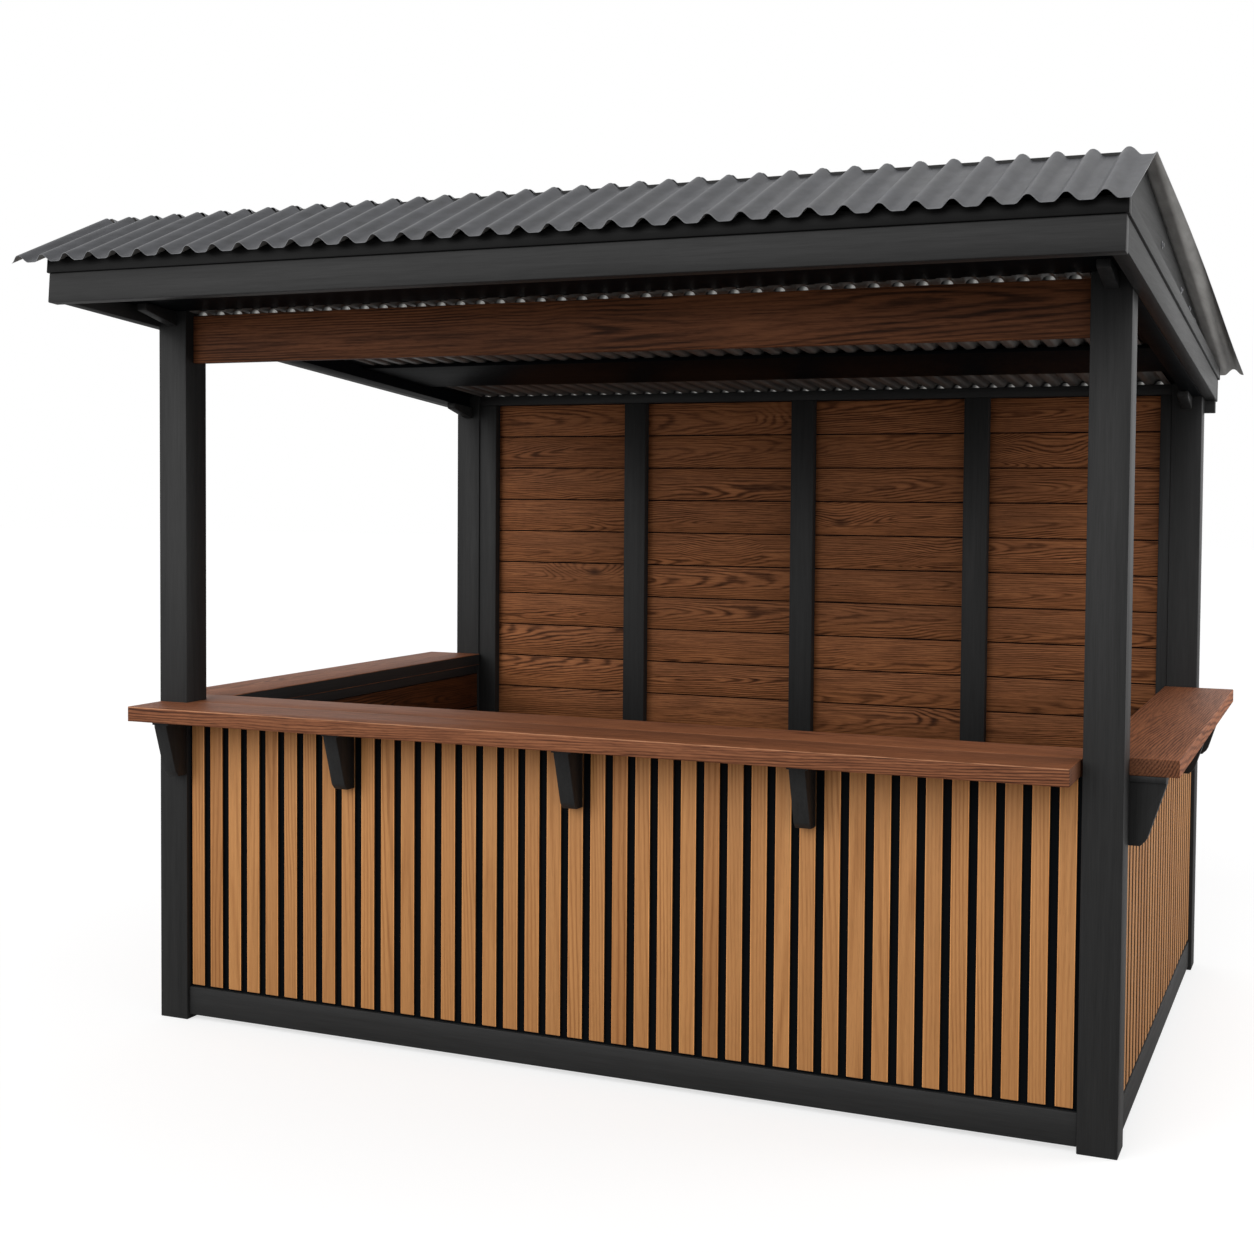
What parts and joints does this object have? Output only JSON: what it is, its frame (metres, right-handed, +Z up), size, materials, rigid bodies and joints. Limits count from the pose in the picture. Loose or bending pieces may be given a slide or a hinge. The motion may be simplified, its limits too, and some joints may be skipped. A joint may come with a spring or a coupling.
{
  "type": "wooden market stall",
  "caption": "Open market stall with a black timber frame, slatted counters on its front and sides, a boarded back wall and a corrugated roof.",
  "frame": {"origin": "on the ground, under the middle of the box around the stall", "axes": "+Z up, -Y towards the front counter, +X to the right as seen from the front"},
  "size_m": [3.275, 2.7386, 2.5519],
  "materials": {
    "black_timber": "satin",
    "counter_walnut": "satin",
    "board_walnut": "satin",
    "slat_wood": "satin",
    "roof_sheet": "satin"
  },
  "bodies": {
    "root": {"post_front_left": "black_timber", "post_front_right": "black_timber", "post_back_left": "black_timber", "post_back_right": "black_timber", "bottom_rail_front": "black_timber", "bottom_rail_left": "black_timber", "bottom_rail_right": "black_timber", "bottom_rail_back": "black_timber", "counter_rail_front": "black_timber", "counter_rail_left": "black_timber", "counter_rail_right": "black_timber", "backing_front": "black_timber", "backing_left": "black_timber", "backing_right": "black_timber", "slats_front": "slat_wood", "slats_left": "slat_wood", "slats_right": "slat_wood", "lining_front": "board_walnut", "lining_left": "board_walnut", "lining_right": "board_walnut", "counter_front": "counter_walnut", "counter_left": "counter_walnut", "counter_right": "counter_walnut", "brackets_front": "black_timber", "brackets_left": "black_timber", "brackets_right": "black_timber", "back_studs": "black_timber", "back_boards": "board_walnut", "back_top_rail": "black_timber", "header_board": "board_walnut", "soffit_boards": "black_timber", "knee_brackets": "black_timber", "roof_beam_front": "black_timber", "roof_beam_back": "black_timber", "barge_rafter_left": "black_timber", "barge_rafter_right": "black_timber", "roof_trim_ends": "black_timber", "roof_trim_sides": "black_timber", "rear_ledger": "black_timber", "gable_boards": "black_timber", "ridge_beam": "black_timber", "ceiling_board": "black_timber", "ceiling_sheet": "roof_sheet", "front_roof_sheet": "roof_sheet", "back_roof_sheet": "roof_sheet"}
  },
  "joints": []
}
